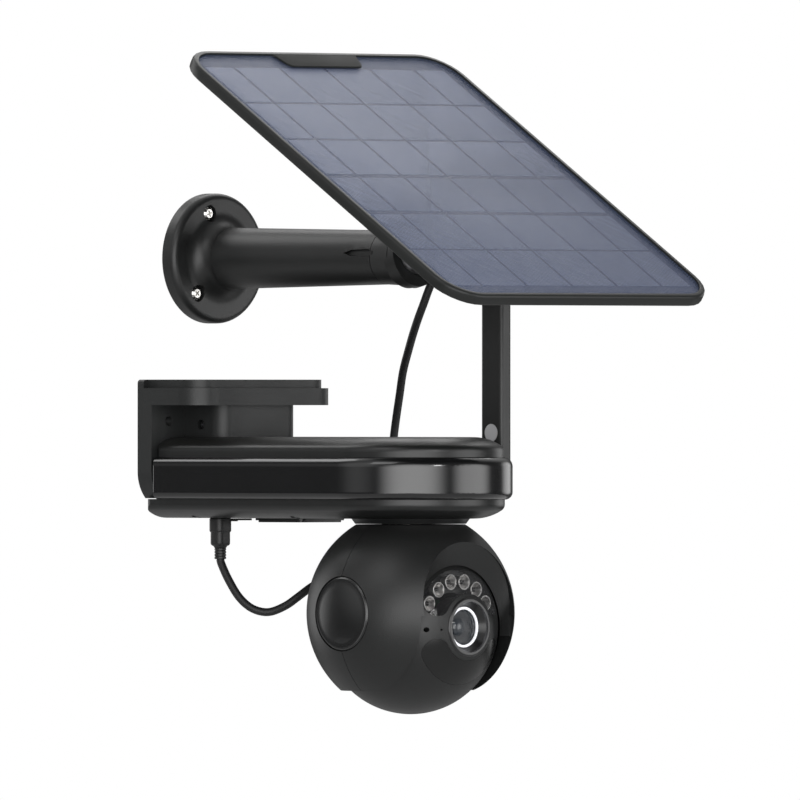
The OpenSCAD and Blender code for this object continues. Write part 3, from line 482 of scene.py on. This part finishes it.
cover_sheet, tree, shader = new_finish("cover_sheet")
place = tree.nodes.new("ShaderNodeTexCoord")
lay = tree.nodes.new("ShaderNodeMapping")
lay.vector_type = "TEXTURE"
slant = PANEL @ Matrix.Rotation(math.radians(HATCH_TURN), 4, "Z")
lay.inputs["Location"].default_value = PANEL.to_translation()
lay.inputs["Rotation"].default_value = slant.to_euler()
feed(tree, lay.inputs["Vector"], place.outputs["Object"])
waves = tree.nodes.new("ShaderNodeTexWave")
waves.wave_type = "BANDS"
waves.bands_direction = "Y"
waves.wave_profile = "SIN"
waves.inputs["Scale"].default_value = 2 * math.pi / (20 * HATCH_PITCH)
waves.inputs["Distortion"].default_value = 0.0
feed(tree, waves.inputs["Vector"], lay.outputs["Vector"])
ridges = waves.outputs["Fac"]
cloud = cloudy(tree, 260, 4)
mask = worked_out(tree, "MULTIPLY", ridges, remapped(tree, cloud, 0.35, 0.65, 0.45, 1.0))
feed(tree, shader.inputs["Base Color"], blended(tree, mask, COVER_DARK, COVER_LIGHT))
feed(tree, shader.inputs["Alpha"], remapped(tree, mask, 0.0, 1.0, 0.26, 0.40))
feed(tree, shader.inputs["Roughness"], remapped(tree, cloud, 0.0, 1.0, 0.34, 0.42))
feed(tree, shader.inputs["Normal"], raised(tree, ridges, 0.12, 0.0001))
finish_with(cover_sheet, panel_cover)


def silicon(name, dark, light, roughness):
    """Silicon or its backing board: soft crystal flakes of slightly different tone."""
    material, tree, shader = new_finish(name)
    place = tree.nodes.new("ShaderNodeTexCoord")
    flakes = tree.nodes.new("ShaderNodeTexVoronoi")
    flakes.inputs["Scale"].default_value = 140
    feed(tree, flakes.inputs["Vector"], place.outputs["Object"])
    tone = blended(tree, flakes.outputs["Color"], (*dark, 1), (*light, 1))
    gloss = remapped(tree, flakes.outputs["Distance"], 0.0, 1.0, roughness, roughness + 0.12)
    feed(tree, shader.inputs["Base Color"], tone)
    feed(tree, shader.inputs["Roughness"], gloss)
    return material


cell_silicon = silicon("cell_silicon", (0.20, 0.225, 0.325), (0.225, 0.255, 0.36), 0.42)
cell_backing = silicon("cell_backing", (0.085, 0.092, 0.145), (0.10, 0.108, 0.165), 0.45)
finish_with(cell_silicon, "solar_cells")
finish_with(cell_backing, "cell_board")

# ---- Wall bracket ----
# A thick moulded plate with a two-step shelf. The body's mounting block slides in under
# the shelf and is held by one lock screw.
bracket_plastic = moulded("bracket_plastic", (0.010, 0.011, 0.011), 0.42, grain_size=2000,
                          grain_depth=0.3, mottle=0.12, dust=0.05)
finish_with(bracket_plastic, "wall_bracket", "mount_block")
finish_with(metal("black_screw", (0.10, 0.10, 0.105), 0.35), "lock_screw", "body_screws")

# ---- Camera body ----
# Three moulded shells: a satin lid, a deep piano-gloss band round the middle and a satin
# underside with a service cover, a charging port under a rubber flap and a power key.
shell_plastic = moulded("shell_plastic", (0.008, 0.0085, 0.0085), 0.33, grain_size=2400,
                        grain_depth=0.18, mottle=0.08, dust=0.05)
gloss_plastic = moulded("gloss_plastic", (0.005, 0.0052, 0.0056), 0.20, grain_size=120,
                        grain_depth=0.02, mottle=0.05, dust=0.01, coat=0.6)
finish_with(shell_plastic, "top_cover", "lower_shell", "access_cover", "neck_ring",
            "access_screws")
finish_with(gloss_plastic, "glossy_band")
finish_with(gland_rubber, "usb_flap")
finish_with(moulded("key_grey", (0.10, 0.10, 0.105), 0.45), "power_button")

# ---- Parts inside the body ----
# A wrapped battery, the main board, a speaker and the steel charging socket. None of
# them shows while the shells are closed.
board_lacquer = moulded("board_lacquer", (0.01, 0.07, 0.03), 0.35, mottle=0.25, coat=0.5)
finish_with(moulded("battery_wrap", (0.02, 0.08, 0.16), 0.3, coat=0.4), "battery_pack")
finish_with(board_lacquer, "main_board", "sensor_board")
finish_with(moulded("speaker_cone", (0.03, 0.03, 0.03), 0.7, grain_depth=0.5), "speaker")
finish_with(screw_steel, "usb_socket")

# ---- Antenna ----
# A flat moulded paddle that folds on a boss beside the body, with a plain pale round
# badge pressed into it.
antenna_plastic = moulded("antenna_plastic", (0.011, 0.0115, 0.0115), 0.38, grain_size=2400,
                          grain_depth=0.18)
finish_with(antenna_plastic, "antenna", "antenna_socket")
finish_with(moulded("badge_grey", (0.42, 0.42, 0.43), 0.4, grain_depth=0.15), "antenna_badge")

# ---- Pan and tilt drive ----
# Geared motors in plated cans. One turns the yoke through a nylon pinion and gear, and
# the other tilts the ball on its steel pins.
gear_nylon = moulded("gear_nylon", (0.62, 0.60, 0.54), 0.5, grain_depth=0.1)
finish_with(gear_nylon, "pan_pinion", "pan_gear")
finish_with(metal("motor_can", (0.45, 0.45, 0.46), 0.35), "pan_motor", "tilt_motor",
            "tilt_pins")

# ---- Yoke ----
# Two satin half shells carry the ball between plain pressed-in side caps. Each cap is a
# shallow dome that follows the yoke's ball, with a groove inside its rim.
YOKE_RADIUS = 54.8
CAP_CENTRE = (0, -0.1516, -0.0863)
CAP_RADIUS, CAP_SEAT, CAP_FOOT = 19.4, 49.55, 0.4
CAP_RIM = ((0.0, 0.0, 0.7), (0.15, 0.0, 0.3), (0.5, 0.0, 0.05), (0.9, 0.9, 0.02),
           (1.3, 1.3, 0.25))
GROOVE_IN, GROOVE_DROP = 2.0, 0.55
DOME_IN, DOME_RISE, DOME_STEPS = 3.0, 0.62, 12
yoke_plastic = moulded("yoke_plastic", (0.009, 0.0095, 0.0095), 0.40, grain_size=2400,
                       grain_depth=0.22, mottle=0.08, dust=0.03)
cap_plastic = moulded("cap_plastic", (0.007, 0.0073, 0.0075), 0.26, grain_size=2400,
                      grain_depth=0.12, mottle=0.06, dust=0.02, coat=0.3)
finish_with(yoke_plastic, "yoke_front", "yoke_rear")


def on_yoke(radius):
    """Height of the yoke's ball over its centre plane at a radius."""
    return math.sqrt(YOKE_RADIUS ** 2 - radius ** 2)


def turned_copies(name, profile, steps, places):
    """One turned profile, made at each place and joined into one piece."""
    whole = bmesh.new()
    for place in places:
        bm = bmesh.new()
        turned(bm, profile, steps)
        in_metres(bm, place)
        mesh = bpy.data.meshes.new(name + "_part")
        bm.to_mesh(mesh)
        bm.free()
        whole.from_mesh(mesh)
        bpy.data.meshes.remove(mesh)
    return finish_mesh(name, whole, 35)


# Each rim point: in from the cap's edge, in to where the ball's height is taken, its drop
cap_profile = [(0.0, CAP_SEAT), (CAP_RADIUS - 0.5, CAP_SEAT), (CAP_RADIUS, CAP_SEAT + CAP_FOOT)]
cap_profile += [(CAP_RADIUS - inward, on_yoke(CAP_RADIUS - taken) - drop)
                for inward, taken, drop in CAP_RIM]
groove_top = on_yoke(CAP_RADIUS - GROOVE_IN)
cap_profile.append((CAP_RADIUS - GROOVE_IN, groove_top - GROOVE_DROP))
for i in range(DOME_STEPS):
    radius = (CAP_RADIUS - DOME_IN) * (1 - (i + 1) / DOME_STEPS)
    rise = (on_yoke(radius) - groove_top) * DOME_RISE
    cap_profile.append((radius, groove_top - GROOVE_DROP + rise))
cap_places = [Matrix.Translation(CAP_CENTRE) @ Matrix.Rotation(math.radians(90 * side), 4, "Y")
              for side in (-1, 1)]
trim_caps = turned_copies("trim_caps", cap_profile, 96, cap_places)
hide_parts("side_caps")
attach(trim_caps, "yoke")
finish_with(cap_plastic, trim_caps)

# ---- Camera ball ----
# The tilting ball holds the lamps, the lens and the motion sensor behind clear or dark
# windows. A rubber cover on its back closes the card slot.
finish_with(yoke_plastic, "ball_front", "ball_rear")
finish_with(moulded("card_rubber", (0.016, 0.016, 0.017), 0.5, grain_depth=0.3), "card_cover")
finish_with(moulded("bezel_plastic", (0.008, 0.008, 0.0085), 0.3, grain_depth=0.1, coat=0.3),
            "lens_bezel")
finish_with(moulded("pir_film", (0.005, 0.0052, 0.0052), 0.24, grain_depth=0.1), "pir_window")
finish_with(moulded("sensor_can", (0.3, 0.3, 0.3), 0.4), "pir_sensor")


def clear(name, tint, alpha, roughness=0.06):
    """A clear moulded window or lens with a polished face and a faint tint."""
    material, tree, shader = new_finish(name)
    smear = cloudy(tree, 160, 2)
    gloss = remapped(tree, smear, 0.0, 1.0, roughness * 0.6, roughness * 1.5)
    feed(tree, shader.inputs["Roughness"], gloss)
    seen = tree.nodes.new("ShaderNodeLayerWeight")
    seen.inputs["Blend"].default_value = 0.35
    fade = remapped(tree, seen.outputs["Facing"], 0.0, 1.0, alpha, min(1.0, alpha + 0.5))
    feed(tree, shader.inputs["Alpha"], fade)
    tone = blended(tree, smear, (*tint, 1), tuple(1.3 * c for c in tint) + (1,))
    feed(tree, shader.inputs["Base Color"], tone)
    return material


finish_with(clear("lamp_window_clear", (0.05, 0.05, 0.052), 0.10), "lamp_window")
finish_with(moulded("board_mask", (0.012, 0.013, 0.013), 0.4, mottle=0.3), "lamp_board")

# ---- Infrared lamps ----
# Six plated reflector cups in an arc over the lens, each with a wide rim, a polished
# bowl and the dark domed lamp that stands in its middle.
BALL = Matrix.Translation((0, -0.1516, -0.0934)) @ Matrix.Rotation(math.radians(90), 4, "X")
LAMP_COUNT = 6
LAMP_RING, LAMP_SPREAD = 0.0241, 23.6
LAMP_FOOT = 0.02975
CUP_RADIUS, CUP_HEIGHT = 4.15, 5.15
cup = [(0.0, 0.0), (2.9, 0.0), (3.1, 0.3), (3.7, CUP_HEIGHT - 1.0), (4.05, CUP_HEIGHT - 0.8),
       (CUP_RADIUS, CUP_HEIGHT - 0.55), (CUP_RADIUS, CUP_HEIGHT - 0.15), (4.0, CUP_HEIGHT),
       (3.55, CUP_HEIGHT), (3.4, CUP_HEIGHT - 0.15), (3.05, CUP_HEIGHT - 1.0),
       (2.65, CUP_HEIGHT - 1.9), (2.2, CUP_HEIGHT - 2.7), (1.75, CUP_HEIGHT - 3.2),
       (1.6, CUP_HEIGHT - 3.35), (0.0, CUP_HEIGHT - 3.35)]
dome = [(0.0, 1.5), (1.25, 1.5), (1.25, 2.9), (1.2, 3.3), (1.0, 3.7), (0.7, 3.98),
        (0.35, 4.12), (0.0, 4.15)]
lamp_turns = [90 + (i - (LAMP_COUNT - 1) / 2) * LAMP_SPREAD for i in range(LAMP_COUNT)]
lamp_places = [BALL @ Matrix.Rotation(math.radians(turn), 4, "Z")
               @ Matrix.Translation((LAMP_RING, 0, LAMP_FOOT)) for turn in lamp_turns]
lamp_cups = turned_copies("lamp_cups", cup, 32, lamp_places)
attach(lamp_cups, "ball")
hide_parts("ir_lamps")
finish_with(metal("cup_plating", (0.60, 0.59, 0.58), 0.30, streak=180, depth=0.0), lamp_cups)
lamp_domes = turned_copies("lamp_domes", dome, 24, lamp_places)
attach(lamp_domes, "ball")
finish_with(moulded("lamp_dome", (0.012, 0.010, 0.012), 0.12, grain_depth=0.02, coat=0.5),
            lamp_domes)

# ---- Lens ----
# A stepped black barrel with an inner coated element, a plain white ring round it that
# glows as painted light though it is no lamp, and a thick polished front element that bulges out
# of the bezel.
barrel = [(0.0, 12.6), (10.6, 12.6), (10.6, 38.6), (10.4, 38.75), (9.4, 38.75), (9.2, 38.55),
          (9.1, 37.9), (8.3, 37.7), (8.2, 37.2), (7.4, 37.1), (7.3, 36.5), (6.5, 36.4),
          (6.4, 35.9), (5.7, 35.8), (5.5, 35.2), (4.9, 35.1), (4.7, 34.4), (0.0, 34.4)]
element = [(0.0, 34.3), (4.6, 34.3), (4.6, 35.2), (4.2, 35.75), (3.5, 36.25), (2.6, 36.7),
           (1.7, 36.95), (0.8, 37.1), (0.0, 37.15)]
# Emission strength of the white ring: painted light that makes the plain ring look lit
RING_PAINTED_GLOW = 0.42
lens_stack = turned_copies("lens_stack", barrel, 96, [BALL])
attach(lens_stack, "ball")
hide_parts("lens_barrel")
finish_with(moulded("barrel_black", (0.016, 0.017, 0.018), 0.22, grain_depth=0.03, coat=0.6),
            lens_stack)
lens_inner = turned_copies("lens_inner", element, 64, [BALL])
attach(lens_inner, "ball")
finish_with(moulded("coated_glass", (0.022, 0.030, 0.040), 0.05, grain_depth=0.0, mottle=0.02,
                    coat=1.0, specular=1.0), lens_inner)
finish_with(clear("lens_coated", (0.02, 0.026, 0.034), 0.12, 0.02), "lens_glass")
# The white ring glows with its own colour: painted light, though it is no lamp
painted_glow_ring = moulded("painted_glow_ring", (0.85, 0.86, 0.90), 0.3, grain_depth=0.05, dust=0.0)
glow_ring_nodes = painted_glow_ring.node_tree
glow = glow_ring_nodes.nodes["Principled BSDF"]
feed(glow_ring_nodes, glow.inputs["Emission Color"], glow_ring_nodes.nodes["Group"].outputs["Colour"])
glow.inputs["Emission Strength"].default_value = RING_PAINTED_GLOW
finish_with(painted_glow_ring, "lens_ring")

# ---- Studio ----
# A pale floor far below and a white backdrop. Four soft boxes stand near the object, and
# the rest of the light comes from large panels far away.
FLOOR_Z = -1.3
FLOOR_SIZE = 4
bm = bmesh.new()
bmesh.ops.create_grid(bm, x_segments=1, y_segments=1, size=FLOOR_SIZE)
bmesh.ops.translate(bm, vec=(0, 0, FLOOR_Z), verts=bm.verts)
studio_floor = finish_mesh("studio_floor", bm)
finish_with(moulded("floor_paper", (0.8, 0.8, 0.8), 0.9, grain_depth=0.1, dust=0.0),
            studio_floor)


def soft_box(name, place, size, power):
    """A rectangular lamp that looks at the object."""
    lamp = bpy.data.lights.new(name, "AREA")
    lamp.shape = "RECTANGLE"
    lamp.size, lamp.size_y = size
    lamp.energy = power
    box = bpy.data.objects.new(name, lamp)
    box.location = place
    box.rotation_euler = (VIEW_AIM - Vector(place)).to_track_quat("-Z", "Y").to_euler()
    scene.collection.objects.link(box)


soft_box("panel_light", (0.56, 0.36, 0.78), (0.7, 0.5), 2.2)
soft_box("arm_light", (-0.15, 0.65, 0.80), (0.5, 0.5), 1.6)
soft_box("catch_light", (-0.5, -2.2, 0.6), (0.35, 0.35), 5)
soft_box("key_left", (-2.0, -0.4, 1.9), (1.2, 1.2), 9)

# The far panels are smooth patches of a grey room: each is where it stands (right of the
# camera, towards it, up), the angles where it is full and where it has faded, its light
TO_RIGHT = Vector((1, -1, 0)).normalized()
PATCHES = (
    ((0.04, 1.00, -0.12), 6, 44, 4.40),
    ((1.00, 0.27, 0.00), 8, 30, 3.30),
    ((1.00, -1.28, 0.10), 4, 18, 1.50),
    ((-1.00, -0.70, 0.10), 4, 28, 2.00),
    ((-0.80, 0.40, 0.35), 6, 34, 0.90),
    ((0.28, -0.72, 0.64), 5, 34, 0.34),
    ((0.00, -0.20, 1.00), 15, 60, 0.60),
)
ROOM_GREY = 0.09
world = bpy.data.worlds.new("studio")
scene.world = world
world.use_nodes = True
room = world.node_tree
backdrop = room.nodes["Background"]
backdrop.inputs["Color"].default_value = (1, 1, 1, 1)
direction = room.nodes.new("ShaderNodeTexCoord")
total = ROOM_GREY
for (right, near, up), full, faded, light in PATCHES:
    facing = room.nodes.new("ShaderNodeVectorMath")
    facing.operation = "DOT_PRODUCT"
    toward = TO_RIGHT * right + TO_CAMERA * near + Vector((0, 0, up))
    facing.inputs[1].default_value = toward.normalized()
    feed(room, facing.inputs[0], direction.outputs["Generated"])
    patch = remapped(room, facing.outputs["Value"], math.cos(math.radians(faded)),
                     math.cos(math.radians(full)), high=light, kind="SMOOTHSTEP")
    total = worked_out(room, "ADD", total, patch)
fill = room.nodes.new("ShaderNodeBackground")
feed(room, fill.inputs["Strength"], total)
path = room.nodes.new("ShaderNodeLightPath")
choose = room.nodes.new("ShaderNodeMixShader")
feed(room, choose.inputs[0], path.outputs["Is Camera Ray"])
feed(room, choose.inputs[1], fill.outputs[0])
feed(room, choose.inputs[2], backdrop.outputs[0])
feed(room, room.nodes["World Output"].inputs["Surface"], choose.outputs[0])
scene.view_settings.view_transform = "Standard"
